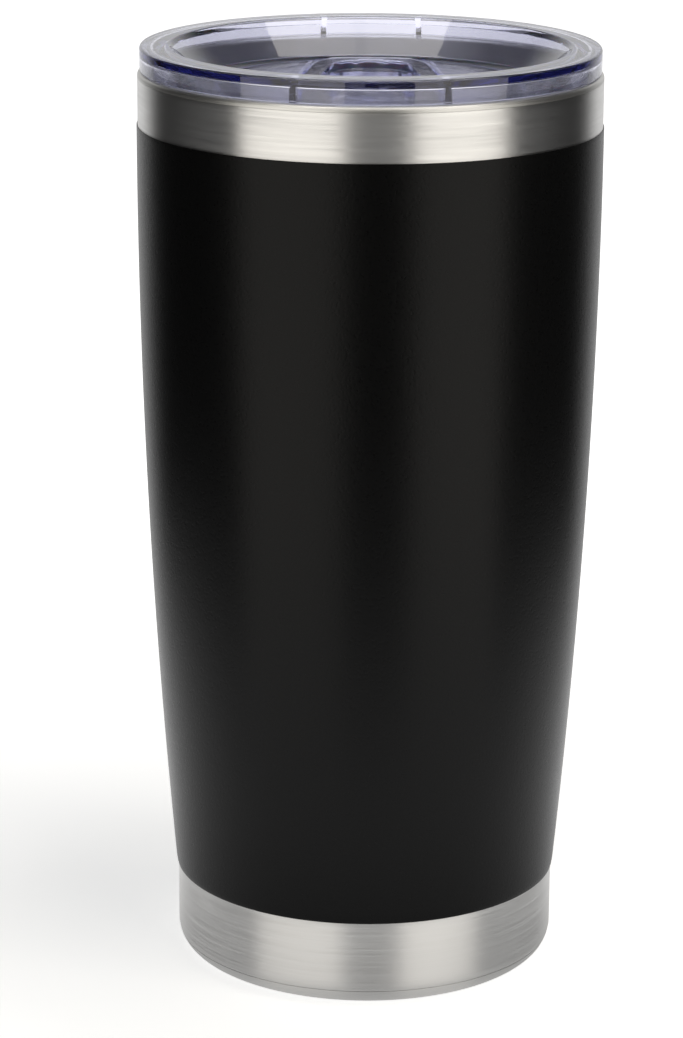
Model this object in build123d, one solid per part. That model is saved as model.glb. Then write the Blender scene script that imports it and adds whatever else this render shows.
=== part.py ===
from build123d import *
import os
from math import sqrt

# Vacuum-insulated stainless tumbler with a clear press-in lid and a slider.
# Millimetres, +Z up. The origin is the centre of the foot, on the surface that it stands on.
# The drink hole is on the +Y side, and the slider opens towards -Y.

# --- the steel wall, outside ---
lip_top = 170.7            # top of the rolled mouth lip
mouth_r = 42.87            # bare ring at the mouth
mouth_low = 160.0          # below this the wall starts to draw in
wall_arc_r = 1560.0        # the side is one long arc, tangent to the mouth ring
step_high = 18.2           # the side runs into the foot ring between these two heights
step_low = 16.0
foot_ring_r = 36.17        # bare ring at the foot
foot_corner_r = 4.7        # the wall turns under into the foot with this radius
seam_z = 3.3               # weld between the shell and the base cap, on that corner
sheet = 0.6                # outer sheet thickness

# --- powder coat ---
coat_low = 17.0
coat_high = 160.8
coat = 0.2                 # thickness of the coat

# --- inner liner ---
liner_sheet = 0.5
liner_inset = 4.2          # from the outside of the steel to the inside of the cup
cup_floor = 12.5           # inside floor of the cup
cup_corner_r = 12.0
land_r = 41.1              # bore of the mouth, where the lid seals
land_low = 158.5
neck_low = 152.0           # the bore necks in from the land to the cup between these heights
lip_width = mouth_r - land_r
shell_top = 169.6          # the shell ends under the rolled lip

# --- base ---
foot_r = foot_ring_r - foot_corner_r    # outer edge of the flat foot
foot_width = 1.4
foot_inner_r = foot_r - foot_width
bend_r = 0.5               # bend from the foot into the recess
recess_r = foot_inner_r - bend_r        # the bottom is recessed inside the foot
recess_z = 2.2
end_disc_z = 8.0           # underside of the vacuum end disc
end_disc_drop = 2.0        # its rim turns down by this much
dimple_r = 8.0
dimple_rise = 1.4
evac_hole_r = 0.8
solder_r = 3.0
solder_thick = 0.9

# --- getter and foil ---
getter_y = 18.0
getter_r = 4.5
getter_thick = 1.6
clip_wall = 0.4
clip_gap = 0.1
clip_height = 2.2
foil_inset = 3.65          # inner face of the foil, measured in from the outside of the steel
foil = 0.1
foil_low = 26.0
foil_high = 150.0

# --- lid ---
lid_top = 175.2
lid_seat = 170.8           # underside of the flange, just clear of the lip
lid_r = 42.45
lid_edge_r = 1.0           # rounding of the flange's top edge
lid_wall = 1.7
skirt_inner_r = 40.7
recess_top_r = 37.0        # the recess narrows from here at the top
recess_floor_r = 31.0      # to here at its floor
recess_floor_z = lid_top - 7.1
recess_rim_r = 0.6
recess_corner_r = 2.0
floor_thick = 1.8
plateau_r = 26.5           # the floor is raised inside this radius, beside the track
plateau_rise = 0.5
carrier_r = 39.6           # cylinder that goes into the mouth and carries the gasket
carrier_wall = 1.7
carrier_low = 160.5
groove_low = 162.6
groove_high = 166.2
groove_depth = 1.0

# --- slider track, slider and holes ---
track_half = 12.9          # half width between the track's lips
track_groove = 0.9         # the track widens by this much under its lips
track_lip = 1.2            # thickness of the lips
track_deep = 2.9           # from the lid's floor to the track's floor
track_floor = 1.6
track_wall = 1.5
track_end_r = 30.9         # the track's ends are round about the lid's axis
slider_gap = 0.3           # clearance round the slider
slider_lift = 0.2          # clearance under the slider
slider_travel = 13.0
thumb_deep = 1.7
thumb_back = (21.9, 7.7)   # centre along Y and radius of the thumb recess's back end
thumb_front = (7.0, 9.5)   # and of its front end
nose_taper = 1.8           # the slider is this much narrower, each side, round the recess's back end
grip_bars = 3
grip_bar_pitch = 2.2
grip_bar_first = -5.0
grip_bar_size = (14.0, 0.9, 0.5)
slider_vent_y = -13.5
vent_r = 1.5
drink_hole_y = 25.0
drink_hole_size = (14.0, 7.0)

# --- ribs under the flange ---
rib_low = 170.9
front_rib_x = 13.1
front_rib_thick = 1.3
back_rib_x = 9.3
back_rib_thick = 1.1

# --- gasket ---
gasket_r = 40.9            # the lips stop short of the bore; the real ones are squeezed into it
gasket_base = 1.1
gasket_lips = 2


def wall_radius(z):
    """Outer radius of the bare steel at height z."""
    if z >= mouth_low:
        return mouth_r
    if z < foot_corner_r:
        return foot_r + sqrt(foot_corner_r**2 - (foot_corner_r - z) ** 2)
    if z <= step_low:
        return foot_ring_r
    if z < step_high:
        share = (z - step_low) / (step_high - step_low)
        return foot_ring_r + share * (wall_radius(step_high) - foot_ring_r)
    return mouth_r - wall_arc_r + sqrt(wall_arc_r**2 - (mouth_low - z) ** 2)


def wall_line(inset, low, high):
    """Edges that follow the steel wall, moved in by inset, from height low up to high."""
    changes = (foot_corner_r, step_low, step_high, mouth_low)
    heights = [low] + [z for z in changes if low < z < high] + [high]
    edges = []
    for a, b in zip(heights, heights[1:]):
        start, end = (wall_radius(a) - inset, a), (wall_radius(b) - inset, b)
        if b <= foot_corner_r or (a >= step_high and b <= mouth_low):
            middle = (a + b) / 2
            edges.append(ThreePointArc(start, (wall_radius(middle) - inset, middle), end))
        else:
            edges.append(Line(start, end))
    return edges


def turned(edges):
    """A closed outline of radius and height, turned about the axis."""
    return revolve(Plane.XZ * make_face(edges), Axis.Z, 360)


def wall_sleeve(outer_inset, inner_inset, low, high):
    """A sleeve between two insets from the outside of the steel wall."""
    outer = wall_line(outer_inset, low, high)
    inner = wall_line(inner_inset, low, high)
    top = Line(outer[-1] @ 1, inner[-1] @ 1)
    bottom = Line(inner[0] @ 0, outer[0] @ 0)
    return turned(outer + [top] + inner + [bottom])


def make_outer_shell():
    return wall_sleeve(0, sheet, seam_z, shell_top)


def make_powder_coat():
    return wall_sleeve(-coat, 0, coat_low, coat_high)


def make_radiation_foil():
    return wall_sleeve(foil_inset - foil, foil_inset, foil_low, foil_high)


def liner_face_line(inset, corner_r, floor_z, neck_r):
    """One face of the liner, from the axis along the floor and up to the top of the land."""
    bend_high = cup_floor + cup_corner_r
    side_r = wall_radius(bend_high) - inset
    slant = corner_r * 0.5 * sqrt(2)
    bend_mid = (side_r - corner_r + slant, bend_high - slant)
    waist_r = wall_radius(neck_low) - inset
    neck_mid = ((waist_r + neck_r) / 2, (neck_low + land_low) / 2)
    return [
        Line((0, floor_z), (side_r - corner_r, floor_z)),
        ThreePointArc((side_r - corner_r, floor_z), bend_mid, (side_r, bend_high)),
        *wall_line(inset, bend_high, neck_low),
        TangentArc((waist_r, neck_low), neck_mid, tangent=(0, 1)),
        TangentArc((neck_r, land_low), neck_mid, tangent=(0, -1)),
        Line((neck_r, land_low), (neck_r, shell_top)),
    ]


def make_inner_liner():
    inner = liner_face_line(liner_inset, cup_corner_r, cup_floor, land_r)
    outer = liner_face_line(
        liner_inset - liner_sheet,
        cup_corner_r + liner_sheet,
        cup_floor - liner_sheet,
        land_r + liner_sheet,
    )
    lip_centre = land_r + lip_width / 2
    lip_base = lip_top - lip_width / 2
    lip = [
        Line((land_r, shell_top), (land_r, lip_base)),
        ThreePointArc((land_r, lip_base), (lip_centre, lip_top), (mouth_r, lip_base)),
        Line((mouth_r, lip_base), (mouth_r, shell_top)),
        Line((mouth_r, shell_top), (land_r + liner_sheet, shell_top)),
    ]
    axis_line = Line((0, cup_floor), (0, cup_floor - liner_sheet))
    return turned(inner + lip + outer + [axis_line])


def make_base_cap():
    """Rounded foot, recessed bottom and a shallow raised boss in its middle."""
    bend_slant = bend_r * (1 - 0.5 * sqrt(2))
    seam_r = wall_radius(seam_z)
    corner_slant = foot_corner_r * 0.5 * sqrt(2)
    inner_slant = (foot_corner_r - sheet) * 0.5 * sqrt(2)
    boss_r, boss_rise, boss_run = 11.0, 0.6, 1.2
    outline = [
        Line((seam_r - sheet, seam_z), (seam_r, seam_z)),
        ThreePointArc(
            (seam_r, seam_z), (foot_r + corner_slant, foot_corner_r - corner_slant), (foot_r, 0)
        ),
        Line((foot_r, 0), (foot_inner_r, 0)),
        ThreePointArc(
            (foot_inner_r, 0), (recess_r + bend_slant, bend_slant), (recess_r, bend_r)
        ),
        Line((recess_r, bend_r), (recess_r, recess_z)),
        Line((recess_r, recess_z), (boss_r + boss_run, recess_z)),
        Line((boss_r + boss_run, recess_z), (boss_r, recess_z + boss_rise)),
        Line((boss_r, recess_z + boss_rise), (0, recess_z + boss_rise)),
        Line((0, recess_z + boss_rise), (0, recess_z + boss_rise + sheet)),
        Line((0, recess_z + boss_rise + sheet), (boss_r, recess_z + boss_rise + sheet)),
        Line((boss_r, recess_z + boss_rise + sheet), (boss_r + boss_run, recess_z + sheet)),
        Line((boss_r + boss_run, recess_z + sheet), (recess_r + sheet, recess_z + sheet)),
        Line((recess_r + sheet, recess_z + sheet), (recess_r + sheet, sheet)),
        Line((recess_r + sheet, sheet), (foot_r, sheet)),
        ThreePointArc(
            (foot_r, sheet), (foot_r + inner_slant, foot_corner_r - inner_slant), (seam_r - sheet, seam_z)
        ),
    ]
    return turned(outline)


def make_vacuum_base():
    """End disc of the vacuum jacket: a turned-down rim, and a dimple with the evacuation hole."""
    rim_r = foot_ring_r - sheet
    top = end_disc_z + sheet
    bend = 1.2
    slant = bend * (1 - 0.5 * sqrt(2))
    slope = dimple_rise
    outline = [
        Line((evac_hole_r, top + dimple_rise), (dimple_r - slope, top + dimple_rise)),
        Line((dimple_r - slope, top + dimple_rise), (dimple_r, top)),
        Line((dimple_r, top), (rim_r - bend, top)),
        ThreePointArc((rim_r - bend, top), (rim_r - slant, top - slant), (rim_r, top - bend)),
        Line((rim_r, top - bend), (rim_r, top - end_disc_drop)),
        Line((rim_r, top - end_disc_drop), (rim_r - sheet, top - end_disc_drop)),
        Line((rim_r - sheet, top - end_disc_drop), (rim_r - sheet, end_disc_z)),
        Line((rim_r - sheet, end_disc_z), (dimple_r, end_disc_z)),
        Line((dimple_r, end_disc_z), (dimple_r - slope, end_disc_z + dimple_rise)),
        Line((dimple_r - slope, end_disc_z + dimple_rise), (evac_hole_r, end_disc_z + dimple_rise)),
        Line((evac_hole_r, end_disc_z + dimple_rise), (evac_hole_r, top + dimple_rise)),
    ]
    return turned(outline)


def make_solder_seal():
    """A low domed bead under the hole, with a plug in it."""
    under = end_disc_z + dimple_rise
    dome = ThreePointArc(
        (0, under - solder_thick), (solder_r * 0.72, under - solder_thick * 0.5), (solder_r, under)
    )
    return turned(
        [
            dome,
            Line((solder_r, under), (evac_hole_r, under)),
            Line((evac_hole_r, under), (evac_hole_r, under + sheet)),
            Line((evac_hole_r, under + sheet), (0, under + sheet)),
            Line((0, under + sheet), (0, under - solder_thick)),
        ]
    )


def make_getter_clip():
    base_z = end_disc_z + sheet
    outer_r = getter_r + clip_gap + clip_wall
    low = (Align.CENTER, Align.CENTER, Align.MIN)
    cup = Pos(0, getter_y, base_z) * Cylinder(outer_r, clip_height, align=low)
    hollow = Pos(0, getter_y, base_z + clip_wall) * Cylinder(outer_r - clip_wall, clip_height, align=low)
    return cup - hollow


def make_getter():
    low = (Align.CENTER, Align.CENTER, Align.MIN)
    pill = Cylinder(getter_r, getter_thick, align=low)
    pill = fillet(pill.edges().filter_by(GeomType.CIRCLE), 0.3)
    return Pos(0, getter_y, end_disc_z + sheet + clip_wall) * pill


def recess_cone_r(z):
    """Radius of the recess's inner face at height z."""
    slope = (recess_top_r - recess_floor_r) / (lid_top - recess_floor_z)
    return recess_floor_r + (z - recess_floor_z) * slope


def make_lid_ring():
    """Flange, skirt, gasket carrier, sloping recess wall and floor, as one turned shape."""
    wall_across = lid_wall * 1.3            # the sloping wall, measured level
    under_floor = recess_floor_z - floor_thick
    under_top = lid_top - lid_wall
    carrier_in = carrier_r - carrier_wall
    pocket_top = under_top - 0.2
    outline = Polyline(
        (0, recess_floor_z),
        (recess_floor_r, recess_floor_z),
        (recess_top_r, lid_top),
        (lid_r, lid_top),
        (lid_r, lid_seat),
        (skirt_inner_r, lid_seat),
        (skirt_inner_r, under_top),
        (carrier_r, under_top),
        (carrier_r, groove_high),
        (carrier_r - groove_depth, groove_high),
        (carrier_r - groove_depth, groove_low),
        (carrier_r, groove_low),
        (carrier_r, carrier_low),
        (carrier_in, carrier_low),
        (carrier_in, pocket_top),
        (recess_cone_r(pocket_top) + wall_across, pocket_top),
        (recess_cone_r(under_floor) + wall_across, under_floor),
        (0, under_floor),
        close=True,
    )
    section = make_face(outline)
    points = section.vertices()

    def corner(r, z):
        return points.sort_by_distance((r, z, 0))[0]

    section = fillet(corner(recess_floor_r, recess_floor_z), recess_corner_r)
    points = section.vertices()
    section = fillet(corner(recess_top_r, lid_top), recess_rim_r)
    points = section.vertices()
    section = fillet(corner(lid_r, lid_top), lid_edge_r)
    points = section.vertices()
    section = fillet([corner(lid_r, lid_seat), corner(carrier_r, carrier_low)], 0.3)
    return revolve(Plane.XZ * section, Axis.Z, 360)


def strip(half_width, end_r, low, high, front_centre_y=0.0):
    """A bar along Y with a narrower, rounded +Y nose. It ends round about the lid's axis at +Y,
    and about front_centre_y at -Y."""
    height = high - low
    base = (Align.CENTER, Align.MAX, Align.MIN)
    back_y, front_y = thumb_back[0], thumb_front[0]
    nose = [
        CenterArc((0, back_y), half_width - nose_taper, 0, 360),
        CenterArc((0, front_y), half_width, 0, 360),
    ]
    bar = Pos(0, front_y, low) * Box(2 * half_width, 2 * end_r, height, align=base)
    bar += Pos(0, 0, low) * extrude(make_hull(nose), height)
    base = (Align.CENTER, Align.CENTER, Align.MIN)
    back = Pos(0, 0, low) * Cylinder(end_r, height, align=base)
    front = Pos(0, front_centre_y, low) * Cylinder(end_r, height, align=base)
    return bar & back & front


def make_ribs():
    """Two upright ribs under the front of the flange and two under the back."""
    top = lid_top - lid_wall / 2
    inner_low = recess_cone_r(rib_low) + lid_wall / 2
    inner_high = recess_cone_r(top) + lid_wall / 2
    outer = (skirt_inner_r + lid_r) / 2
    zone = turned(
        [
            Line((inner_low, rib_low), (outer, rib_low)),
            Line((outer, rib_low), (outer, top)),
            Line((outer, top), (inner_high, top)),
            Line((inner_high, top), (inner_low, rib_low)),
        ]
    )
    ribs = []
    for side in (-1, 1):
        for centre_x, thick, centre_y in (
            (front_rib_x, front_rib_thick, -lid_r / 2),
            (back_rib_x, back_rib_thick, lid_r / 2),
        ):
            plate = Pos(side * centre_x, centre_y, lid_top) * Box(thick, lid_r, 20)
            ribs.append(plate & zone)
    return ribs


def make_lid_body():
    floor_z = recess_floor_z
    track_z = floor_z - track_deep
    lid = make_lid_ring()
    base = (Align.CENTER, Align.CENTER, Align.MIN)
    plateau = Pos(0, 0, floor_z - 0.5) * Cylinder(plateau_r, plateau_rise + 0.5, align=base)
    plateau = chamfer(plateau.edges().group_by(Axis.Z)[-1], plateau_rise * 0.6)
    lid += plateau
    tub_half = track_half + track_groove + track_wall
    lid += strip(tub_half, track_end_r + lid_wall, track_z - track_floor, floor_z - track_lip / 2)
    for rib in make_ribs():
        lid += rib
    lid -= strip(track_half, track_end_r, track_z, floor_z + 4)
    lid -= strip(track_half + track_groove, track_end_r, track_z, floor_z - track_lip)
    hole = Pos(0, drink_hole_y, track_z - 2 * track_floor) * extrude(
        SlotOverall(*drink_hole_size), 3 * track_floor
    )
    vent_y = slider_vent_y - slider_travel
    vent = Pos(0, vent_y, track_z - track_floor) * Cylinder(vent_r, 3 * track_floor)
    return lid - hole - vent


def make_slider():
    """Tongue with side flanges under the track's lips, a thumb recess, grip bars and a vent hole."""
    end_r = track_end_r - slider_gap
    low = recess_floor_z - track_deep + slider_lift
    top = recess_floor_z
    flange_top = top - track_lip - slider_gap
    half = track_half - slider_gap
    body = strip(half, end_r, low, top, slider_travel)
    body = fillet(body.edges().group_by(Axis.Z)[-1], 0.4)
    body += strip(half + track_groove, end_r, low, flange_top, slider_travel)
    ends = [CenterArc((0, centre_y), radius, 0, 360) for centre_y, radius in (thumb_back, thumb_front)]
    thumb = Pos(0, 0, top - thumb_deep) * extrude(make_hull(ends), 4)
    thumb = fillet(thumb.edges().group_by(Axis.Z)[0], 0.5)
    body -= thumb
    width, depth, height = grip_bar_size
    for k in range(grip_bars):
        bar = Box(width, depth, 2 * height)
        bar = fillet(bar.edges().filter_by(Axis.Z), depth * 0.45)
        body += Pos(0, grip_bar_first - k * grip_bar_pitch, top) * bar
    return body - Pos(0, slider_vent_y, top) * Cylinder(vent_r, 8)


def make_lid_gasket():
    """A band in the carrier's groove with flexible lips round it."""
    inner = carrier_r - groove_depth
    band_out = inner + gasket_base
    low, high = groove_low + 0.1, groove_high - 0.1
    pitch = (high - low) / gasket_lips
    points = [(inner, low), (band_out, low)]
    for k in range(gasket_lips):
        z = low + k * pitch
        points += [(band_out, z + 0.25 * pitch), (gasket_r, z + 0.55 * pitch), (gasket_r, z + 0.7 * pitch)]
        points += [(band_out, z + 0.75 * pitch)]
    points += [(band_out, high), (inner, high)]
    return revolve(Plane.XZ * make_face(Polyline(*points, close=True)), Axis.Z, 360)


parts = {
    "outer_shell": make_outer_shell,
    "powder_coat": make_powder_coat,
    "inner_liner": make_inner_liner,
    "base_cap": make_base_cap,
    "vacuum_base": make_vacuum_base,
    "solder_seal": make_solder_seal,
    "getter_clip": make_getter_clip,
    "getter": make_getter,
    "radiation_foil": make_radiation_foil,
    "lid_body": make_lid_body,
    "lid_gasket": make_lid_gasket,
    "slider": make_slider,
}

os.makedirs("parts", exist_ok=True)
for name, make in parts.items():
    shape = make()
    export_step(shape, f"parts/{name}.step")
    print(name, round(shape.volume, 1))
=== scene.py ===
import math
import bpy
import bmesh
from mathutils import Matrix, Vector


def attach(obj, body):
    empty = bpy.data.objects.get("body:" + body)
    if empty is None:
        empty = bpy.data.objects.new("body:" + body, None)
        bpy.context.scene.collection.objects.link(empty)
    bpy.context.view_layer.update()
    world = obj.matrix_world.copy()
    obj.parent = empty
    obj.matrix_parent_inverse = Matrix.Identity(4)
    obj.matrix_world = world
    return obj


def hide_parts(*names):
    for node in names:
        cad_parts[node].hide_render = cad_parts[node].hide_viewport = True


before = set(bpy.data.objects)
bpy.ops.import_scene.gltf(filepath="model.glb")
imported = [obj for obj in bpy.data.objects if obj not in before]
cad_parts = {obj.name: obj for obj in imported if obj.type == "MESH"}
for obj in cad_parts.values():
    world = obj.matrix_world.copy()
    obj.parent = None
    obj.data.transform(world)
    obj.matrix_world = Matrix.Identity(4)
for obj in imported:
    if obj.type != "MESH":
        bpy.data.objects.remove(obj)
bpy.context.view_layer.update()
mm = 0.001
print("frame loaded")


def hexColour(code):
    # sRGB hex to the linear values that shaders work in
    linear = []
    for k in (0, 2, 4):
        part = int(code[k:k + 2], 16) / 255
        linear.append(part / 12.92 if part <= 0.04045 else ((part + 0.055) / 1.055) ** 2.4)
    return (*linear, 1.0)


def addNode(tree, kind, settings=None, inputs=None):
    # adds a node with its settings; an input is a plain value, or a socket that gets linked
    node = tree.nodes.new(kind)
    for name, value in (settings or {}).items():
        setattr(node, name, value)
    for name, value in (inputs or {}).items():
        if isinstance(value, bpy.types.NodeSocket):
            tree.links.new(value, node.inputs[name])
        else:
            node.inputs[name].default_value = value
    return node


def newMaterial(name):
    material = bpy.data.materials.new(name)
    material.use_nodes = True
    material.node_tree.nodes.clear()
    return material, material.node_tree


def finishMaterial(material, surface, volume=None):
    tree = material.node_tree
    inputs = {"Surface": surface.outputs[0]}
    if volume:
        inputs["Volume"] = volume.outputs[0]
    addNode(tree, "ShaderNodeOutputMaterial", inputs=inputs)
    return material


def newPiece(name, mesh):
    piece = bpy.data.objects.new(name, mesh)
    bpy.context.scene.collection.objects.link(piece)
    return piece


def smoothByAngle(mesh, degrees=35):
    # smooth shading that keeps every edge sharper than this crisp
    mesh.set_sharp_from_angle(angle=math.radians(degrees))


def bakeModifiers(piece):
    # the evaluated mesh replaces the piece's own, and its modifiers go
    graph = bpy.context.evaluated_depsgraph_get()
    mesh = bpy.data.meshes.new_from_object(piece.evaluated_get(graph))
    piece.modifiers.clear()
    piece.data = mesh
    return piece


# camera, lights and floor; metres
studio = {
    "cameraPlace": (0, -0.6657, 0.2735),
    "cameraTurn": (0.42, 74.175, 0.335),   # degrees: turned a hair left, tipped 15.8 down, a hair of roll
    "lens": 126.26,
    "surround": 0.02,      # the dim room that the steel mirrors, beside the white that the camera sees
    "surroundClear": 0.36, # and the room as it shows through the clear lid
    "ceilingClear": 2.2,   # brighter straight up, so that the cup isn't black through its lid
    "backdrop": 0.85,      # the bright wall behind the object
    "backdropEdges": (0.6, 0.9),         # where it fades in, as the share of Y in the direction
    "backdropEdgesClear": (0.92, 0.985),
    "floorGlow": (0.7, 1.06),         # near the object and far out, where the lamps fade
    "floorFade": (0.07, 0.3),
    "floorMirrored": (0.6, 1.15),     # under the foot and past its shadow
    "tableShadow": (0.05, 0.1),
    "tableRadius": 0.34,   # metres; past it the steel mirrors no table
    "softboxes": [   # bearing from the front in degrees (right is plus), distance, width, height, radiance
        (-39, 1.15, 1.15, 2.2, 1.5),
        (45.4, 1.15, 1.02, 2.2, 1.62),
    ],
    "softboxLift": 0.25,   # middle above the floor, as a share of the height
    "overhead": [    # middle along X, width, radiance; a pair with a dimmer strip between them
        (-0.255, 0.59, 3.3),
        (0.0775, 0.075, 2.6),
        (0.458, 0.685, 3.3),
    ],
    "overheadPlace": (-0.14, 1.27),   # along Y and Z
    "overheadDepth": 0.6,
}


def cardMesh(name, width, height):
    mesh = bpy.data.meshes.new(name)
    w, h = width / 2, height / 2
    mesh.from_pydata([(-w, -h, 0), (w, -h, 0), (w, h, 0), (-w, h, 0)], [], [(0, 1, 2, 3)])
    return mesh


def makeWorld():
    # white to look at; mirrored or seen through the lid, a dim room with one bright wall behind the object
    world = bpy.data.worlds.new("paleStudio")
    world.use_nodes = True
    tree = world.node_tree
    tree.nodes.clear()
    ray = addNode(tree, "ShaderNodeLightPath").outputs
    toward = addNode(tree, "ShaderNodeTexCoord")
    split = addNode(tree, "ShaderNodeSeparateXYZ", inputs={0: toward.outputs["Generated"]})
    room = addNode(tree, "ShaderNodeMix", inputs={
        "Factor": ray["Is Transmission Ray"], "A": studio["surround"], "B": studio["surroundClear"]})
    edges = [addNode(tree, "ShaderNodeMix", inputs={"Factor": ray["Is Transmission Ray"], "A": a, "B": b})
             for a, b in zip(studio["backdropEdges"], studio["backdropEdgesClear"])]
    above = addNode(tree, "ShaderNodeMapRange", {"interpolation_type": "SMOOTHSTEP"}, {
        "Value": split.outputs["Z"], "From Min": 0.7, "From Max": 0.95, "To Max": studio["ceilingClear"]})
    ceiling = addNode(tree, "ShaderNodeMath", {"operation": "MULTIPLY_ADD"}, {
        0: above.outputs[0], 1: ray["Is Transmission Ray"], 2: room.outputs["Result"]})
    wall = addNode(tree, "ShaderNodeMapRange", {"interpolation_type": "SMOOTHSTEP"}, {
        "Value": split.outputs["Y"], "From Min": edges[0].outputs["Result"],
        "From Max": edges[1].outputs["Result"], "To Min": ceiling.outputs[0], "To Max": studio["backdrop"]})
    level = addNode(tree, "ShaderNodeMix", inputs={
        "Factor": ray["Is Camera Ray"], "A": wall.outputs[0], "B": 1.0})
    back = addNode(tree, "ShaderNodeBackground", inputs={
        "Color": (1, 1, 1, 1), "Strength": level.outputs["Result"]})
    addNode(tree, "ShaderNodeOutputWorld", inputs={"Surface": back.outputs[0]})
    bpy.context.scene.world = world


def makeFloor():
    floor = newPiece("floor", cardMesh("floor", 8, 8))
    pale, tree = newMaterial("paleSweep")   # matt white paper, lifted so that only the shadow shows on it
    ray = addNode(tree, "ShaderNodeLightPath").outputs
    place = addNode(tree, "ShaderNodeTexCoord")
    reach = addNode(tree, "ShaderNodeVectorMath", {"operation": "LENGTH"}, {0: place.outputs["Object"]})
    edge = addNode(tree, "ShaderNodeMapRange", {"interpolation_type": "SMOOTHSTEP"}, {
        "Value": reach.outputs["Value"], "From Min": studio["tableRadius"] * 0.35,
        "From Max": studio["tableRadius"]})

    def fade(span, levels):
        return addNode(tree, "ShaderNodeMapRange", inputs={
            "Value": reach.outputs["Value"], "From Min": span[0], "From Max": span[1],
            "To Min": levels[0], "To Max": levels[1]})

    glow = fade(studio["floorFade"], studio["floorGlow"])
    paper = addNode(tree, "ShaderNodeBsdfPrincipled", inputs={
        "Base Color": hexColour("e6e6e4"), "Roughness": 0.8, "Specular IOR Level": 0.0,
        "Emission Color": (1, 1, 1, 1), "Emission Strength": glow.outputs[0]})
    shade = fade(studio["tableShadow"], studio["floorMirrored"])
    mirrored = addNode(tree, "ShaderNodeEmission", inputs={
        "Color": (1, 1, 1, 1), "Strength": shade.outputs[0]})
    nothing = addNode(tree, "ShaderNodeBsdfTransparent")
    table = addNode(tree, "ShaderNodeMixShader", inputs={0: edge.outputs[0]})
    tree.links.new(mirrored.outputs[0], table.inputs[1])
    tree.links.new(nothing.outputs[0], table.inputs[2])
    bounced = addNode(tree, "ShaderNodeMath", {"operation": "SUBTRACT"}, {
        0: ray["Is Reflection Ray"], 1: ray["Is Diffuse Ray"]})
    both = addNode(tree, "ShaderNodeMixShader", inputs={0: bounced.outputs[0]})
    tree.links.new(paper.outputs[0], both.inputs[1])
    tree.links.new(table.outputs[0], both.inputs[2])
    floor.data.materials.append(finishMaterial(pale, both))


def addSoftbox(name, width, height, radiance, place, turn):
    light = bpy.data.lights.new(name, "AREA")
    light.shape = "RECTANGLE"
    light.size, light.size_y = width, height
    light.energy = radiance * math.pi * width * height
    light.color = hexColour("fffbf4")[:3]
    lamp = newPiece(name, light)
    lamp.visible_camera = False
    lamp.visible_diffuse = place[0] > 0   # only the right-hand lamps light the paper: its shadow falls left
    lamp.visible_transmission = False     # the clear lid is lit by the room alone, so that it keeps its greys
    lamp.location = place
    lamp.rotation_euler = turn


def makeStudio():
    scene = bpy.context.scene
    scene.view_settings.view_transform = "Standard"
    scene.cycles.max_bounces = 32            # light has to find its way round inside the clear lid
    scene.cycles.glossy_bounces = 24
    scene.cycles.transmission_bounces = 32
    camera = bpy.data.cameras.new("camera")
    camera.lens = studio["lens"]
    camera.sensor_width = 36
    camera.clip_start = 0.02
    cameraObject = newPiece("camera", camera)
    turn, tip, roll = [math.radians(d) for d in studio["cameraTurn"]]
    cameraObject.matrix_world = (Matrix.Translation(studio["cameraPlace"]) @ Matrix.Rotation(turn, 4, "Z")
                                 @ Matrix.Rotation(tip, 4, "X") @ Matrix.Rotation(roll, 4, "Z"))
    scene.camera = cameraObject
    for k, (bearing, distance, width, height, radiance) in enumerate(studio["softboxes"]):
        turn = math.radians(bearing)
        place = (math.sin(turn) * distance, -math.cos(turn) * distance, height * studio["softboxLift"])
        addSoftbox(f"softbox{k}", width, height, radiance, place, (math.pi / 2, 0, turn))
    y, z = studio["overheadPlace"]
    for k, (x, width, radiance) in enumerate(studio["overhead"]):
        addSoftbox(f"overhead{k}", width, studio["overheadDepth"], radiance, (x, y, z), (0, 0, 0))
    makeWorld()
    makeFloor()


makeStudio()
print("studio ready")


def brushedSteel(name, colour, roughness, lineSpacing, lineDepth, anisotropy):
    # 304 stainless, polished round the axis with a fine belt: bright streaks that stretch up and down,
    # under hair-thin level scratches
    material, tree = newMaterial(name)
    place = addNode(tree, "ShaderNodeTexCoord")
    # along the belt a scratch runs about sixty times its width, so the pattern is squeezed upwards only
    stretched = addNode(tree, "ShaderNodeMapping", inputs={
        "Vector": place.outputs["Object"], "Scale": (1, 1, 60)})
    scratches = addNode(tree, "ShaderNodeTexNoise", inputs={
        "Vector": stretched.outputs[0], "Scale": 1 / (60 * lineSpacing), "Detail": 5.0, "Roughness": 0.65})
    smears = addNode(tree, "ShaderNodeTexNoise", inputs={
        "Vector": place.outputs["Object"], "Scale": 1 / (24 * mm), "Detail": 3.0})
    bump = addNode(tree, "ShaderNodeBump", inputs={
        "Height": scratches.outputs[0], "Strength": 1.0, "Distance": lineDepth})
    uneven = addNode(tree, "ShaderNodeMapRange", inputs={
        "Value": scratches.outputs[0], "From Min": 0.3, "From Max": 0.7,
        "To Min": roughness - 0.08, "To Max": roughness + 0.07})
    hazy = addNode(tree, "ShaderNodeMath", {"operation": "MULTIPLY_ADD"}, {
        0: smears.outputs[0], 1: 0.1, 2: uneven.outputs[0]})
    around = addNode(tree, "ShaderNodeTangent", {"direction_type": "RADIAL", "axis": "Z"})
    steel = addNode(tree, "ShaderNodeBsdfPrincipled", inputs={
        "Base Color": hexColour(colour), "Metallic": 1.0, "Roughness": hazy.outputs[0],
        "Anisotropic": anisotropy, "Anisotropic Rotation": 0.25, "Normal": bump.outputs[0],
        "Tangent": around.outputs[0]})
    return finishMaterial(material, steel)


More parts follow.
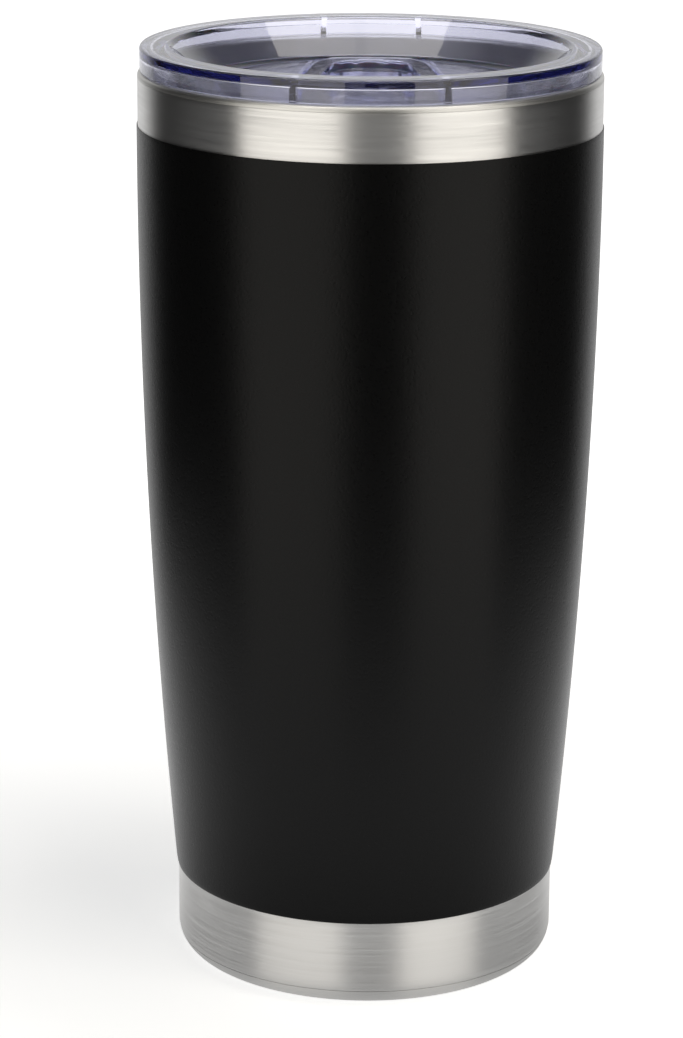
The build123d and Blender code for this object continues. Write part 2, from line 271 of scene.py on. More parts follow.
def powderCoat():
    # polyester powder, baked on: near-black, with an even orange-peel grain that breaks up the highlights
    material, tree = newMaterial("powderCoatBlack")
    place = addNode(tree, "ShaderNodeTexCoord")
    grain = addNode(tree, "ShaderNodeTexNoise", inputs={
        "Vector": place.outputs["Object"], "Scale": 1 / (0.55 * mm), "Detail": 3.0, "Roughness": 0.6})
    swell = addNode(tree, "ShaderNodeTexNoise", inputs={
        "Vector": place.outputs["Object"], "Scale": 1 / (4 * mm), "Detail": 1.0})
    height = addNode(tree, "ShaderNodeMath", {"operation": "MULTIPLY_ADD"}, {
        0: swell.outputs[0], 1: 0.5, 2: grain.outputs[0]})
    bump = addNode(tree, "ShaderNodeBump", inputs={
        "Height": height.outputs[0], "Strength": 1.0, "Distance": 0.035 * mm})
    tone = addNode(tree, "ShaderNodeMix", {"data_type": "RGBA"}, {
        "Factor": grain.outputs[0], "A": hexColour("040404"), "B": hexColour("080808")})
    rough = addNode(tree, "ShaderNodeMapRange", inputs={
        "Value": grain.outputs[0], "To Min": 0.24, "To Max": 0.33})
    coat = addNode(tree, "ShaderNodeBsdfPrincipled", inputs={
        "Base Color": tone.outputs["Result"], "Roughness": rough.outputs[0], "IOR": 1.5,
        "Specular IOR Level": 0.13,
        "Normal": bump.outputs[0]})
    return finishMaterial(material, coat)


def clearCopolyester(name, roughness=0.03):
    # injection-moulded clear copolyester: glass-clear, faintly violet where the light runs along a wall
    material, tree = newMaterial(name)
    place = addNode(tree, "ShaderNodeTexCoord")
    flow = addNode(tree, "ShaderNodeTexNoise", inputs={
        "Vector": place.outputs["Object"], "Scale": 1 / (9 * mm), "Detail": 2.0})
    bump = addNode(tree, "ShaderNodeBump", inputs={
        "Height": flow.outputs[0], "Strength": 1.0, "Distance": 0.06 * mm})
    clear = addNode(tree, "ShaderNodeBsdfPrincipled", inputs={
        "Base Color": hexColour("f8f8fa"), "Roughness": roughness, "IOR": 1.57,
        "Transmission Weight": 1.0, "Normal": bump.outputs[0]})
    tint = addNode(tree, "ShaderNodeVolumeAbsorption", inputs={
        "Color": hexColour("858ad0"), "Density": 70.0})
    return finishMaterial(material, clear, tint)


def sparkedCopolyester():
    # the same clear plastic where the mould was spark-eroded: a fine frosted grain for the thumb to feel
    material, tree = newMaterial("copolyesterSparked")
    place = addNode(tree, "ShaderNodeTexCoord")
    grain = addNode(tree, "ShaderNodeTexVoronoi", {"feature": "SMOOTH_F1"}, {
        "Vector": place.outputs["Object"], "Scale": 1 / (0.9 * mm), "Smoothness": 0.3})
    bump = addNode(tree, "ShaderNodeBump", inputs={
        "Height": grain.outputs["Distance"], "Strength": 1.0, "Distance": 0.8 * mm})
    clear = addNode(tree, "ShaderNodeBsdfPrincipled", inputs={
        "Base Color": hexColour("eeeef6"), "Roughness": 0.22, "IOR": 1.57,
        "Transmission Weight": 1.0, "Normal": bump.outputs[0]})
    tint = addNode(tree, "ShaderNodeVolumeAbsorption", inputs={
        "Color": hexColour("858ad0"), "Density": 70.0})
    return finishMaterial(material, clear, tint)


def mouldedSilicone():
    # food-grade silicone, moulded with a matt skin: milky and soft-edged
    material, tree = newMaterial("mouldedSilicone")
    place = addNode(tree, "ShaderNodeTexCoord")
    skin = addNode(tree, "ShaderNodeTexNoise", inputs={
        "Vector": place.outputs["Object"], "Scale": 1 / (0.3 * mm), "Detail": 2.0})
    bump = addNode(tree, "ShaderNodeBump", inputs={
        "Height": skin.outputs[0], "Strength": 1.0, "Distance": 0.01 * mm})
    rubber = addNode(tree, "ShaderNodeBsdfPrincipled", inputs={
        "Base Color": hexColour("dfe2e4"), "Roughness": 0.5, "IOR": 1.41,
        "Subsurface Weight": 0.4, "Subsurface Scale": 1.5 * mm, "Normal": bump.outputs[0]})
    return finishMaterial(material, rubber)


def rolledFoil():
    # aluminium foil, bright side out: nearly a mirror, dulled along the rolling lines and softly creased
    material, tree = newMaterial("aluminiumFoilRolled")
    place = addNode(tree, "ShaderNodeTexCoord")
    stretched = addNode(tree, "ShaderNodeMapping", inputs={
        "Vector": place.outputs["Object"], "Scale": (1, 1, 30)})
    lines = addNode(tree, "ShaderNodeTexNoise", inputs={
        "Vector": stretched.outputs[0], "Scale": 1 / (12 * mm), "Detail": 3.0})
    creases = addNode(tree, "ShaderNodeTexVoronoi", {"feature": "F1"}, {
        "Vector": place.outputs["Object"], "Scale": 1 / (7 * mm)})
    bump = addNode(tree, "ShaderNodeBump", inputs={
        "Height": creases.outputs["Distance"], "Strength": 0.6, "Distance": 0.3 * mm})
    dull = addNode(tree, "ShaderNodeMapRange", inputs={
        "Value": lines.outputs[0], "From Min": 0.3, "From Max": 0.7, "To Min": 0.12, "To Max": 0.26})
    foil = addNode(tree, "ShaderNodeBsdfPrincipled", inputs={
        "Base Color": hexColour("e6e7e9"), "Metallic": 1.0, "Roughness": dull.outputs[0],
        "Normal": bump.outputs[0]})
    return finishMaterial(material, foil)


def pressedPowder():
    # zirconium alloy powder pressed into a pill: dark grey, dull, with the odd bright grain
    material, tree = newMaterial("getterPowderPressed")
    place = addNode(tree, "ShaderNodeTexCoord")
    grains = addNode(tree, "ShaderNodeTexVoronoi", {"feature": "F1"}, {
        "Vector": place.outputs["Object"], "Scale": 1 / (0.15 * mm)})
    pick = addNode(tree, "ShaderNodeSeparateXYZ", inputs={0: grains.outputs["Color"]})
    bright = addNode(tree, "ShaderNodeMapRange", inputs={
        "Value": pick.outputs["X"], "From Min": 0.8, "From Max": 0.95})
    tone = addNode(tree, "ShaderNodeMix", {"data_type": "RGBA"}, {
        "Factor": bright.outputs[0], "A": hexColour("4a4a4c"), "B": hexColour("8b8b8d")})
    bump = addNode(tree, "ShaderNodeBump", inputs={
        "Height": grains.outputs["Distance"], "Strength": 0.8, "Distance": 0.05 * mm})
    powder = addNode(tree, "ShaderNodeBsdfPrincipled", inputs={
        "Base Color": tone.outputs["Result"], "Metallic": 0.7, "Roughness": 0.62,
        "Normal": bump.outputs[0]})
    return finishMaterial(material, powder)


def fusedGlass():
    # a bead of glass solder, melted in place: near-black, glossy, gently uneven
    material, tree = newMaterial("glassSolderFused")
    place = addNode(tree, "ShaderNodeTexCoord")
    flow = addNode(tree, "ShaderNodeTexNoise", inputs={
        "Vector": place.outputs["Object"], "Scale": 1 / (1.2 * mm), "Detail": 1.0})
    bump = addNode(tree, "ShaderNodeBump", inputs={
        "Height": flow.outputs[0], "Strength": 1.0, "Distance": 0.04 * mm})
    bead = addNode(tree, "ShaderNodeBsdfPrincipled", inputs={
        "Base Color": hexColour("262a33"), "Roughness": 0.08, "IOR": 1.7, "Normal": bump.outputs[0]})
    return finishMaterial(material, bead)


steelOutside = brushedSteel("stainlessBeltBrushed", "d8d7d5", 0.35, 0.4 * mm, 0.025 * mm, 0.97)
steelInside = brushedSteel("stainlessDrawnSatin", "c6c5c2", 0.36, 0.3 * mm, 0.004 * mm, 0.6)
coatBlack = powderCoat()
lidClear = clearCopolyester("copolyesterClear")
sliderClear = clearCopolyester("copolyesterClearSlider", 0.04)
sliderSparked = sparkedCopolyester()
siliconeMilky = mouldedSilicone()
foilRolled = rolledFoil()
getterPowder = pressedPowder()
glassSolder = fusedGlass()
print("materials ready")


def rounded(corners, steps=6):
    # an outline of (radius, height, rounding) corners, with each rounding drawn as an arc; millimetres
    points = []
    count = len(corners)
    for k, (r, z, bend) in enumerate(corners):
        here = Vector((r, z))
        if not bend:
            points.append((r, z))
            continue
        before = (Vector(corners[k - 1][:2]) - here).normalized()
        after = (Vector(corners[(k + 1) % count][:2]) - here).normalized()
        half = before.angle(after) / 2
        reach = bend / math.tan(half)
        centre = here + (before + after).normalized() * (bend / math.sin(half))
        start = here + before * reach - centre
        sweep = (here + after * reach - centre).angle_signed(start)
        for s in range(steps + 1):
            a = sweep * s / steps
            points.append((centre.x + start.x * math.cos(a) - start.y * math.sin(a),
                           centre.y + start.x * math.sin(a) + start.y * math.cos(a)))
    return points


def turned(name, outline, segments=192):
    # the outline, in millimetres and anticlockwise, swept round the axis into a closed mesh
    grid = bmesh.new()
    rings = []
    for r, z in outline:
        if r < 1e-6:
            rings.append([grid.verts.new((0, 0, z * mm))])
            continue
        ring = []
        for k in range(segments):
            a = 2 * math.pi * k / segments
            ring.append(grid.verts.new((r * mm * math.cos(a), r * mm * math.sin(a), z * mm)))
        rings.append(ring)
    for k in range(len(rings)):
        low, high = rings[k], rings[(k + 1) % len(rings)]
        if len(low) == 1 and len(high) == 1:
            continue
        for s in range(segments):
            t = (s + 1) % segments
            corners = [low[s % len(low)], low[t % len(low)], high[t % len(high)], high[s % len(high)]]
            face = []
            for corner in corners:
                if corner not in face:
                    face.append(corner)
            grid.faces.new(face)
    bmesh.ops.recalc_face_normals(grid, faces=grid.faces)
    mesh = bpy.data.meshes.new(name)
    grid.to_mesh(mesh)
    grid.free()
    mesh.shade_smooth()
    smoothByAngle(mesh)
    return newPiece(name, mesh)


def give(piece, body, node, material):
    # dresses a finished piece, and has it stand for its CAD node
    piece.data.materials.clear()
    piece.data.materials.append(material)
    for polygon in piece.data.polygons:
        polygon.material_index = 0
    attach(piece, body)
    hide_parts(node)
    return piece


# the wall is one long arc, built by a rule
wall = {   # millimetres
    "mouthRadius": 42.87,
    "mouthLow": 160.0,     # the side draws in below this
    "arcRadius": 1560.0,
    "footRadius": 36.17,
    "stepLow": 16.0,
    "stepHigh": 18.2,
    "footCorner": 4.7,
    "seam": 3.3,
    "seamGap": 0.03,       # each side of the seam stays this far back, so that it shows as a fine line
    "edge": 0.08,
    "shellTop": 169.6,
    "sheet": 0.6,
    "coat": 0.2,
    "coatLow": 17.0,
    "coatHigh": 160.8,
    "segments": 160,
    "ringSpacing": 1.0,
}


def wallRadius(z):
    drop = max(wall["mouthLow"] - z, 0)
    side = wall["mouthRadius"] - wall["arcRadius"] + math.sqrt(wall["arcRadius"] ** 2 - drop ** 2)
    if z < wall["footCorner"]:
        rise = wall["footCorner"] - z
        return wall["footRadius"] - wall["footCorner"] + math.sqrt(wall["footCorner"] ** 2 - rise ** 2)
    share = min(max((z - wall["stepLow"]) / (wall["stepHigh"] - wall["stepLow"]), 0), 1)
    share = share * share * (3 - 2 * share)
    return wall["footRadius"] + share * (side - wall["footRadius"])


def wallTree():
    # a skin that follows the wall's arc between two heights, at an inset from the outside of the steel
    tree = bpy.data.node_groups.new("wallSkin", "GeometryNodeTree")
    face = tree.interface
    names = ["Low", "High", "Inset", "Mouth Radius", "Mouth Low", "Arc Radius", "Foot Radius",
             "Step Low", "Step High", "Foot Corner"]
    for name in names:
        face.new_socket(name, in_out="INPUT", socket_type="NodeSocketFloat")
    for name in ("Segments", "Rings"):
        face.new_socket(name, in_out="INPUT", socket_type="NodeSocketInt")
    face.new_socket("Material", in_out="INPUT", socket_type="NodeSocketMaterial")
    face.new_socket("Geometry", in_out="OUTPUT", socket_type="NodeSocketGeometry")
    given = addNode(tree, "NodeGroupInput").outputs

    def calc(operation, a, b=0.0):
        return addNode(tree, "ShaderNodeMath", {"operation": operation}, {0: a, 1: b}).outputs[0]

    sheet = addNode(tree, "GeometryNodeMeshGrid", inputs={
        "Size X": 1.0, "Size Y": 1.0, "Vertices X": given["Segments"], "Vertices Y": given["Rings"]})
    place = addNode(tree, "GeometryNodeInputPosition")
    parts = addNode(tree, "ShaderNodeSeparateXYZ", inputs={0: place.outputs[0]})
    angle = calc("MULTIPLY", parts.outputs["X"], 2 * math.pi)
    share = calc("ADD", parts.outputs["Y"], 0.5)
    tall = calc("SUBTRACT", given["High"], given["Low"])
    height = calc("ADD", given["Low"], calc("MULTIPLY", share, tall))
    drop = calc("MAXIMUM", calc("SUBTRACT", given["Mouth Low"], height), 0.0)
    squares = calc("SUBTRACT", calc("POWER", given["Arc Radius"], 2.0), calc("POWER", drop, 2.0))
    side = calc("ADD", calc("SUBTRACT", given["Mouth Radius"], given["Arc Radius"]), calc("SQRT", squares))
    radius = addNode(tree, "ShaderNodeMapRange", {"interpolation_type": "SMOOTHSTEP"}, {
        "Value": height, "From Min": given["Step Low"], "From Max": given["Step High"],
        "To Min": given["Foot Radius"], "To Max": side})
    rise = calc("MAXIMUM", calc("SUBTRACT", given["Foot Corner"], height), 0.0)
    cornerSquares = calc("SUBTRACT", calc("POWER", given["Foot Corner"], 2.0), calc("POWER", rise, 2.0))
    across = calc("SQRT", cornerSquares)
    tuck = calc("SUBTRACT", given["Foot Corner"], across)
    skinRadius = calc("SUBTRACT", radius.outputs[0], calc("ADD", given["Inset"], tuck))
    spot = addNode(tree, "ShaderNodeCombineXYZ", inputs={
        "X": calc("MULTIPLY", skinRadius, calc("COSINE", angle)),
        "Y": calc("MULTIPLY", skinRadius, calc("SINE", angle)),
        "Z": height})
    bent = addNode(tree, "GeometryNodeSetPosition", inputs={
        "Geometry": sheet.outputs["Mesh"], "Position": spot.outputs[0]})
    closed = addNode(tree, "GeometryNodeMergeByDistance", inputs={
        "Geometry": bent.outputs[0], "Distance": 0.01 * mm})
    real = addNode(tree, "GeometryNodeRealizeInstances", inputs={"Geometry": closed.outputs[0]})
    dressed = addNode(tree, "GeometryNodeSetMaterial", inputs={
        "Geometry": real.outputs[0], "Material": given["Material"]})
    smooth = addNode(tree, "GeometryNodeSetShadeSmooth", inputs={"Geometry": dressed.outputs[0]})
    addNode(tree, "NodeGroupOutput", inputs={"Geometry": smooth.outputs[0]})
    return tree


def useTree(piece, tree, values):
    # a Geometry Nodes modifier, with each named input set by its identifier
    modifier = piece.modifiers.new(tree.name, "NODES")
    modifier.node_group = tree
    for item in tree.interface.items_tree:
        if item.item_type == "SOCKET" and item.in_out == "INPUT" and item.name in values:
            modifier[item.identifier] = values[item.name]
    return modifier


wallSkin = wallTree()


def wallPiece(name, low, high, inset, thickness, edge, material):
    piece = newPiece(name, bpy.data.meshes.new(name))
    useTree(piece, wallSkin, {
        "Low": low * mm, "High": high * mm, "Inset": inset * mm,
        "Mouth Radius": wall["mouthRadius"] * mm, "Mouth Low": wall["mouthLow"] * mm,
        "Arc Radius": wall["arcRadius"] * mm, "Foot Radius": wall["footRadius"] * mm,
        "Step Low": wall["stepLow"] * mm, "Step High": wall["stepHigh"] * mm,
        "Foot Corner": wall["footCorner"] * mm,
        "Segments": wall["segments"] + 1,
        "Rings": round((high - low) / wall["ringSpacing"]) + 1,
        "Material": material})
    solid = piece.modifiers.new("thickness", "SOLIDIFY")
    solid.thickness = thickness * mm
    solid.offset = -1
    soften = piece.modifiers.new("edges", "BEVEL")
    soften.width = edge * mm
    soften.segments = 2
    soften.limit_method = "ANGLE"
    soften.angle_limit = math.radians(50)
    bakeModifiers(piece)
    smoothByAngle(piece.data, 40)
    return piece


outerShell = wallPiece("outerShell", wall["seam"] + wall["seamGap"], wall["shellTop"], 0, wall["sheet"],
                       wall["edge"], steelOutside)
give(outerShell, "cup", "outer_shell", steelOutside)
powderSleeve = wallPiece("powderSleeve", wall["coatLow"], wall["coatHigh"], 0.01 - wall["coat"],
                         wall["coat"] - 0.02, wall["edge"], coatBlack)
give(powderSleeve, "cup", "powder_coat", coatBlack)
print("wall ready")


liner = {   # millimetres
    "lipTop": 170.7,
    "landRadius": 41.1,
    "landLow": 158.5,
    "neckLow": 152.0,
    "inset": 4.2,
    "sheet": 0.5,
    "floor": 12.5,
    "corner": 12.0,
    "floorCrown": 0.8,     # the pressed floor rises slightly to its middle
    "sideSteps": 60,
    "neckSteps": 10,
}


def linerFace(inset, corner, floor, neck):
    # one face of the liner, from the axis out along the floor and up to the top of the land
    bendHigh = liner["floor"] + liner["corner"]
    sideRadius = wallRadius(bendHigh) - inset
    points = []
    crownSteps = 8
    for k in range(crownSteps):
        share = k / crownSteps
        crown = liner["floorCrown"] * (0.5 + 0.5 * math.cos(math.pi * share))
        points.append((share * (sideRadius - corner), floor + crown))
    for k in range(13):
        a = math.pi / 2 * k / 12
        points.append((sideRadius - corner + corner * math.sin(a), bendHigh - corner * math.cos(a)))
    for k in range(1, liner["sideSteps"] + 1):
        z = bendHigh + (liner["neckLow"] - bendHigh) * k / liner["sideSteps"]
        points.append((wallRadius(z) - inset, z))
    waist = points[-1][0]
    for k in range(1, liner["neckSteps"] + 1):
        share = k / liner["neckSteps"]
        ease = 0.5 - 0.5 * math.cos(math.pi * share)
        z = liner["neckLow"] + share * (liner["landLow"] - liner["neckLow"])
        points.append((waist + ease * (neck - waist), z))
    return points


def makeLiner():
    inner = linerFace(liner["inset"], liner["corner"], liner["floor"], liner["landRadius"])
    outer = linerFace(liner["inset"] - liner["sheet"], liner["corner"] + liner["sheet"],
                      liner["floor"] - liner["sheet"], liner["landRadius"] + liner["sheet"])
    lipHalf = (wall["mouthRadius"] - liner["landRadius"]) / 2
    lipLow = liner["lipTop"] - lipHalf
    lip = []
    for k in range(17):
        a = math.pi * (1 - k / 16)
        lip.append((wall["mouthRadius"] - lipHalf + lipHalf * math.cos(a), lipLow + lipHalf * math.sin(a)))
    lip.append((wall["mouthRadius"], wall["shellTop"] + 0.04))
    lip.append((wall["mouthRadius"] - 0.08, wall["shellTop"]))
    lip.append((liner["landRadius"] + liner["sheet"], wall["shellTop"]))
    outline = outer + list(reversed(lip)) + list(reversed(inner))
    return turned("innerLiner", outline)


give(makeLiner(), "cup", "inner_liner", steelInside)
print("liner ready")


baseCap = {   # millimetres
    "footWidth": 1.4,
    "bend": 0.5,
    "recess": 2.2,
    "boss": 11.0,
    "bossRise": 0.6,
    "bossRun": 1.2,
    "sheet": 0.6,
}


def makeBaseCap():
    b = baseCap
    corner = wall["footCorner"]
    foot = wall["footRadius"] - corner
    recess = foot - b["footWidth"] - b["bend"]
    up = b["recess"] + b["sheet"]
    seamTurn = math.acos((corner - wall["seam"] + wall["seamGap"]) / corner)

    def cornerPoints(radius):
        # from the flat of the foot round to the seam
        turns = [seamTurn * k / 10 for k in range(11)]
        return [(foot + radius * math.sin(a), corner - radius * math.cos(a), 0) for a in turns]

    outline = [
        (0, b["recess"] + b["bossRise"], 0),
        (b["boss"], b["recess"] + b["bossRise"], 0.9),
        (b["boss"] + b["bossRun"], b["recess"], 0.9),
        (recess, b["recess"], 0.35),
        (recess, 0, b["bend"]),
    ]
    outline += cornerPoints(corner)
    outline += list(reversed(cornerPoints(corner - b["sheet"])))
    outline += [
        (recess + b["sheet"], b["sheet"], 0),
        (recess + b["sheet"], up, 0.5),
        (b["boss"] + b["bossRun"], up, 0.5),
        (b["boss"], up + b["bossRise"], 0.5),
        (0, up + b["bossRise"], 0),
    ]
    return turned("baseCap", rounded(outline))


give(makeBaseCap(), "cup", "base_cap", steelOutside)
print("base ready")


lid = {   # millimetres
    "top": 175.2,
    "seat": 170.8,
    "radius": 42.45,
    "edge": 0.45,
    "wallThick": 1.7,
    "skirtInner": 40.7,
    "recessTop": 37.0,
    "recessFloorRadius": 31.0,
    "recessDepth": 7.1,
    "floorThick": 1.8,
    "plateau": 26.5,
    "plateauRise": 0.5,
    "carrier": 39.6,
    "carrierWall": 1.7,
    "carrierLow": 160.5,
    "grooveLow": 162.6,
    "grooveHigh": 166.2,
    "grooveDepth": 1.0,
    "segments": 224,
}
track = {   # millimetres
    "half": 12.9,
    "groove": 0.9,
    "lip": 1.2,
    "deep": 2.9,
    "floor": 1.6,
    "wall": 1.5,
    "endRadius": 30.9,
    "gap": 0.3,
    "lift": 0.2,
    "travel": 13.0,
    "drinkHole": (14.0, 7.0),
    "drinkHoleY": 25.0,
    "vent": 1.5,
    "ventY": -26.5,
}
slider = {   # millimetres
    "thumbDeep": 1.7,
    "thumbBack": (21.9, 7.7),
    "thumbFront": (7.0, 9.5),
    "noseTaper": 1.8,
    "ventY": -13.5,
    "bars": 3,
    "barPitch": 2.2,
    "firstBar": -5.0,
    "barSize": (14.0, 0.9, 0.5),
}
ribs = {   # half spacing, thickness and which side of the lid each pair stands on; millimetres
    "low": 170.9,
    "out": 41.6,           # they end inside the skirt
    "pairs": [("front", 13.1, 1.3, -1), ("back", 9.3, 1.1, 1)],
}
floorZ = lid["top"] - lid["recessDepth"]
trackZ = floorZ - track["deep"]


def coneRadius(z):
    slope = (lid["recessTop"] - lid["recessFloorRadius"]) / lid["recessDepth"]
    return lid["recessFloorRadius"] + (z - floorZ) * slope


def lidRing():
    across = lid["wallThick"] * 1.3
    underFloor = floorZ - lid["floorThick"]
    underTop = lid["top"] - lid["wallThick"]
    inner = lid["carrier"] - lid["carrierWall"]
    pocketTop = underTop - 0.2
    corners = [
        (0, underFloor, 0),
        (coneRadius(underFloor) + across, underFloor, 0.8),
        (coneRadius(pocketTop) + across, pocketTop, 0),
        (inner, pocketTop, 0),
        (inner, lid["carrierLow"], 0.4),
        (lid["carrier"], lid["carrierLow"], 0.5),
        (lid["carrier"], lid["grooveLow"], 0.12),
        (lid["carrier"] - lid["grooveDepth"], lid["grooveLow"], 0.12),
        (lid["carrier"] - lid["grooveDepth"], lid["grooveHigh"], 0.12),
        (lid["carrier"], lid["grooveHigh"], 0.12),
        (lid["carrier"], underTop, 0.3),
        (lid["skirtInner"], underTop, 0.3),
        (lid["skirtInner"], lid["seat"], 0.2),
        (lid["radius"], lid["seat"], 0.3),
        (lid["radius"], lid["top"], lid["edge"]),
        (lid["recessTop"], lid["top"], 0.6),
        (lid["recessFloorRadius"], floorZ, 2.2),
        (lid["plateau"] + 0.5, floorZ, 0.35),
        (lid["plateau"], floorZ + lid["plateauRise"], 0.35),
        (0, floorZ + lid["plateauRise"], 0),
    ]
    return turned("lidBody", rounded(corners, 8), lid["segments"])


def prism(name, outline, low, high):
    # an upright solid on a plan outline, millimetres
    count = len(outline)
    verts = [(x * mm, y * mm, z * mm) for z in (low, high) for x, y in outline]
    faces = [tuple(range(count)), tuple(range(count, 2 * count))]
    faces += [(k, (k + 1) % count, count + (k + 1) % count, count + k) for k in range(count)]
    mesh = bpy.data.meshes.new(name)
    mesh.from_pydata(verts, [], faces)
    grid = bmesh.new()
    grid.from_mesh(mesh)
    bmesh.ops.recalc_face_normals(grid, faces=grid.faces)
    grid.to_mesh(mesh)
    grid.free()
    return newPiece(name, mesh)


def arcPoints(x, y, radius, start, end, steps):
    turns = [math.radians(start + (end - start) * k / steps) for k in range(steps + 1)]
    return [(x + radius * math.cos(a), y + radius * math.sin(a)) for a in turns]


def stripOutline(half, endRadius, frontCentre=0.0):
    # plan of the slider or of its track: a parallel bar with a narrower round nose at +Y,
    # cut off round at both ends
    (backY, _), (frontY, _) = slider["thumbBack"], slider["thumbFront"]
    noseRadius = half - slider["noseTaper"]
    lean = math.degrees(math.asin((half - noseRadius) / (backY - frontY)))
    # where the nose's circle leaves the end's circle, which is centred on the axis
    cutY = (endRadius ** 2 - noseRadius ** 2 + backY ** 2) / (2 * backY)
    cutX = math.sqrt(endRadius ** 2 - cutY ** 2)
    noseStart = math.degrees(math.atan2(cutY - backY, cutX))
    endTurn = math.degrees(math.atan2(cutY, cutX))
    right = arcPoints(0, frontY, half, 0, lean, 3)
    right += arcPoints(0, backY, noseRadius, lean, noseStart, 14)
    end = arcPoints(0, 0, endRadius, endTurn, 180 - endTurn, 12)
    left = [(-x, y) for x, y in reversed(right)]
    spread = math.degrees(math.asin(half / endRadius))
    front = arcPoints(0, frontCentre, endRadius, 270 - spread, 270 + spread, 20)
    return right[:-1] + end + left[1:] + front


def circleOutline(x, y, radius, steps=48):
    return [(x + radius * math.cos(2 * math.pi * k / steps), y + radius * math.sin(2 * math.pi * k / steps))
            for k in range(steps)]


def slotOutline(length, width, y, steps=16):
    # a level slot with round ends, centred on x = 0
    r, reach = width / 2, length / 2 - width / 2
    points = []
    for side, start in ((1, -math.pi / 2), (-1, math.pi / 2)):
        for k in range(steps + 1):
            a = start + math.pi * k / steps
            points.append((side * reach + r * math.cos(a), y + r * math.sin(a)))
    return points


def combine(piece, other, operation):
    # a boolean with a helper solid, which is then thrown away
    step = piece.modifiers.new("combine", "BOOLEAN")
    step.operation = operation
    step.solver = "EXACT"
    step.object = other
    bakeModifiers(piece)
    bpy.data.objects.remove(other)
    return piece


def repeatTree():
    # copies of one solid in a straight row, evenly spaced
    tree = bpy.data.node_groups.new("solidRow", "GeometryNodeTree")
    face = tree.interface
    face.new_socket("Solid", in_out="INPUT", socket_type="NodeSocketObject")
    face.new_socket("Count", in_out="INPUT", socket_type="NodeSocketInt")
    for name in ("Start", "Step"):
        face.new_socket(name, in_out="INPUT", socket_type="NodeSocketVector")
    face.new_socket("Material", in_out="INPUT", socket_type="NodeSocketMaterial")
    face.new_socket("Geometry", in_out="OUTPUT", socket_type="NodeSocketGeometry")
    given = addNode(tree, "NodeGroupInput").outputs
    spots = addNode(tree, "GeometryNodeMeshLine", inputs={
        "Count": given["Count"], "Start Location": given["Start"], "Offset": given["Step"]})
    solid = addNode(tree, "GeometryNodeObjectInfo", inputs={"Object": given["Solid"]})
    copies = addNode(tree, "GeometryNodeInstanceOnPoints", inputs={
        "Points": spots.outputs[0], "Instance": solid.outputs["Geometry"]})
    real = addNode(tree, "GeometryNodeRealizeInstances", inputs={"Geometry": copies.outputs[0]})
    dressed = addNode(tree, "GeometryNodeSetMaterial", inputs={
        "Geometry": real.outputs[0], "Material": given["Material"]})
    addNode(tree, "NodeGroupOutput", inputs={"Geometry": dressed.outputs[0]})
    return tree


solidRow = repeatTree()


def row(solid, count, start, step):
    # a row of the solid, in millimetres; the single one is thrown away
    piece = newPiece(solid.name + "Row", bpy.data.meshes.new(solid.name + "Row"))
    useTree(piece, solidRow, {
        "Solid": solid, "Count": count, "Start": [v * mm for v in start], "Step": [v * mm for v in step],
        "Material": lidClear})
    bakeModifiers(piece)
    bpy.data.objects.remove(solid)
    return piece


def ribZone():
    # the room between the recess's sloping wall and the skirt, where a rib may stand
    top = lid["top"] - lid["wallThick"] / 2
    inset = lid["wallThick"] / 2
    corners = [(coneRadius(ribs["low"]) + inset, ribs["low"]), (ribs["out"], ribs["low"]),
               (ribs["out"], top), (coneRadius(top) + inset, top)]
    return turned("ribZone", corners, lid["segments"])


def makeLid():
    body = lidRing()
    tubHalf = track["half"] + track["groove"] + track["wall"]
    tub = stripOutline(tubHalf, track["endRadius"] + lid["wallThick"])
    combine(body, prism("tub", tub, trackZ - track["floor"], floorZ - track["lip"] / 2), "UNION")
    for name, half, thick, side in ribs["pairs"]:
        plate = [(-thick / 2, 10), (thick / 2, 10), (thick / 2, 50), (-thick / 2, 50)]
        plate = prism(name, [(x, side * y) for x, y in plate], ribs["low"] - 5, lid["top"] + 5)
        pair = row(plate, 2, (-half, 0, 0), (2 * half, 0, 0))
        combine(pair, ribZone(), "INTERSECT")
        combine(body, pair, "UNION")
    half, end = track["half"], track["endRadius"]
    combine(body, prism("channel", stripOutline(half, end), trackZ, floorZ + 5), "DIFFERENCE")
    wide = stripOutline(half + track["groove"], end)
    combine(body, prism("groove", wide, trackZ, floorZ - track["lip"]), "DIFFERENCE")
    hole = slotOutline(*track["drinkHole"], track["drinkHoleY"])
    combine(body, prism("hole", hole, trackZ - 5, trackZ + 1), "DIFFERENCE")
    vent = circleOutline(0, track["ventY"], track["vent"])
    combine(body, prism("vent", vent, trackZ - 5, trackZ + 1), "DIFFERENCE")
    smoothByAngle(body.data, 30)
    return body


give(makeLid(), "lid", "lid_body", lidClear)
print("lid ready")


def thumbOutline(steps=40):
    # the plan of the thumb recess: two circles and the lines that touch both
    (farY, farR), (nearY, nearR) = slider["thumbBack"], slider["thumbFront"]
    lean = math.asin((nearR - farR) / (farY - nearY))
    points = []
    for k in range(steps + 1):
        a = lean + (math.pi - 2 * lean) * k / steps
        points.append((farR * math.cos(a), farY + farR * math.sin(a)))
    for k in range(steps + 1):
        a = math.pi - lean + (math.pi + 2 * lean) * k / steps
        points.append((nearR * math.cos(a), nearY + nearR * math.sin(a)))
    return points


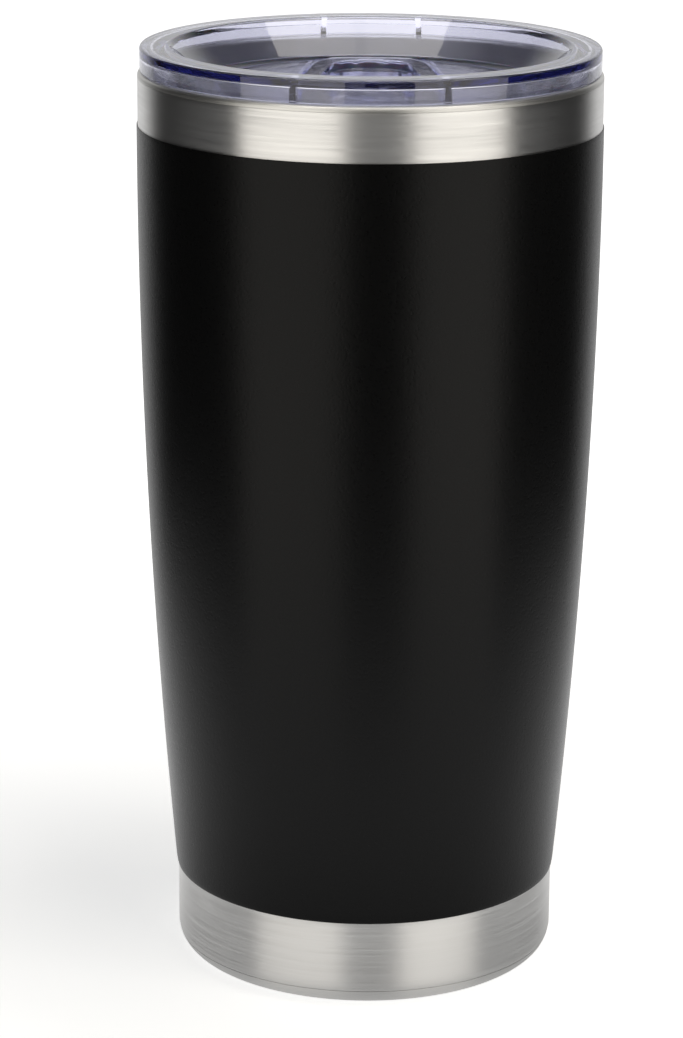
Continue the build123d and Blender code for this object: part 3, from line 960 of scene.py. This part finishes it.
def makeSlider():
    end = track["endRadius"] - track["gap"]
    low = trackZ + track["lift"]
    half = track["half"] - track["gap"]
    body = prism("slider", stripOutline(half, end, track["travel"]), low, floorZ)
    wide = stripOutline(half + track["groove"], end, track["travel"])
    combine(body, prism("flange", wide, low, floorZ - track["lip"] - track["gap"]), "UNION")
    combine(body, prism("thumb", thumbOutline(), floorZ - slider["thumbDeep"], floorZ + 3), "DIFFERENCE")
    width, depth, rise = slider["barSize"]
    bar = prism("bar", slotOutline(width, depth, 0), floorZ - 1, floorZ + rise)
    bars = row(bar, slider["bars"], (0, slider["firstBar"], 0), (0, -slider["barPitch"], 0))
    combine(body, bars, "UNION")
    vent = circleOutline(0, slider["ventY"], track["vent"])
    combine(body, prism("sliderVent", vent, low - 1, floorZ + 2), "DIFFERENCE")
    soften = body.modifiers.new("edges", "BEVEL")
    soften.width = 0.25 * mm
    soften.segments = 3
    soften.limit_method = "ANGLE"
    soften.angle_limit = math.radians(40)
    bakeModifiers(body)
    smoothByAngle(body.data, 40)
    return body


sliderPiece = give(makeSlider(), "lid_slider", "slider", sliderClear)
sliderPiece.data.materials.append(sliderSparked)
for polygon in sliderPiece.data.polygons:   # the flat rim round the thumb recess is the grained part
    if abs(polygon.center.z - floorZ * mm) < 0.05 * mm and polygon.normal.z > 0.9:
        polygon.material_index = 1
print("slider ready")


gasket = {   # millimetres
    "radius": 40.9,
    "band": 1.1,
    "lips": 2,
    "clear": 0.1,
}


def makeGasket():
    inner = lid["carrier"] - lid["grooveDepth"]
    out = inner + gasket["band"]
    low, high = lid["grooveLow"] + gasket["clear"], lid["grooveHigh"] - gasket["clear"]
    pitch = (high - low) / gasket["lips"]
    corners = [(inner, low, 0.1), (out, low, 0.1)]
    for k in range(gasket["lips"]):
        z = low + k * pitch
        corners += [(out, z + 0.25 * pitch, 0.1), (gasket["radius"], z + 0.5 * pitch, 0.08),
                    (gasket["radius"], z + 0.7 * pitch, 0.08), (out, z + 0.78 * pitch, 0.08)]
    corners += [(out, high, 0.1), (inner, high, 0.1)]
    return turned("lidGasket", rounded(corners, 4), 160)


give(makeGasket(), "lid", "lid_gasket", siliconeMilky)
print("gasket ready")


# the pieces sealed in the vacuum keep their CAD shape, and take their own materials
sealed = {"vacuum_base": steelInside, "solder_seal": glassSolder, "getter_clip": steelInside,
          "getter": getterPowder, "radiation_foil": foilRolled}
for node, material in sealed.items():
    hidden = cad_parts[node]
    hidden.data.materials.clear()
    hidden.data.materials.append(material)
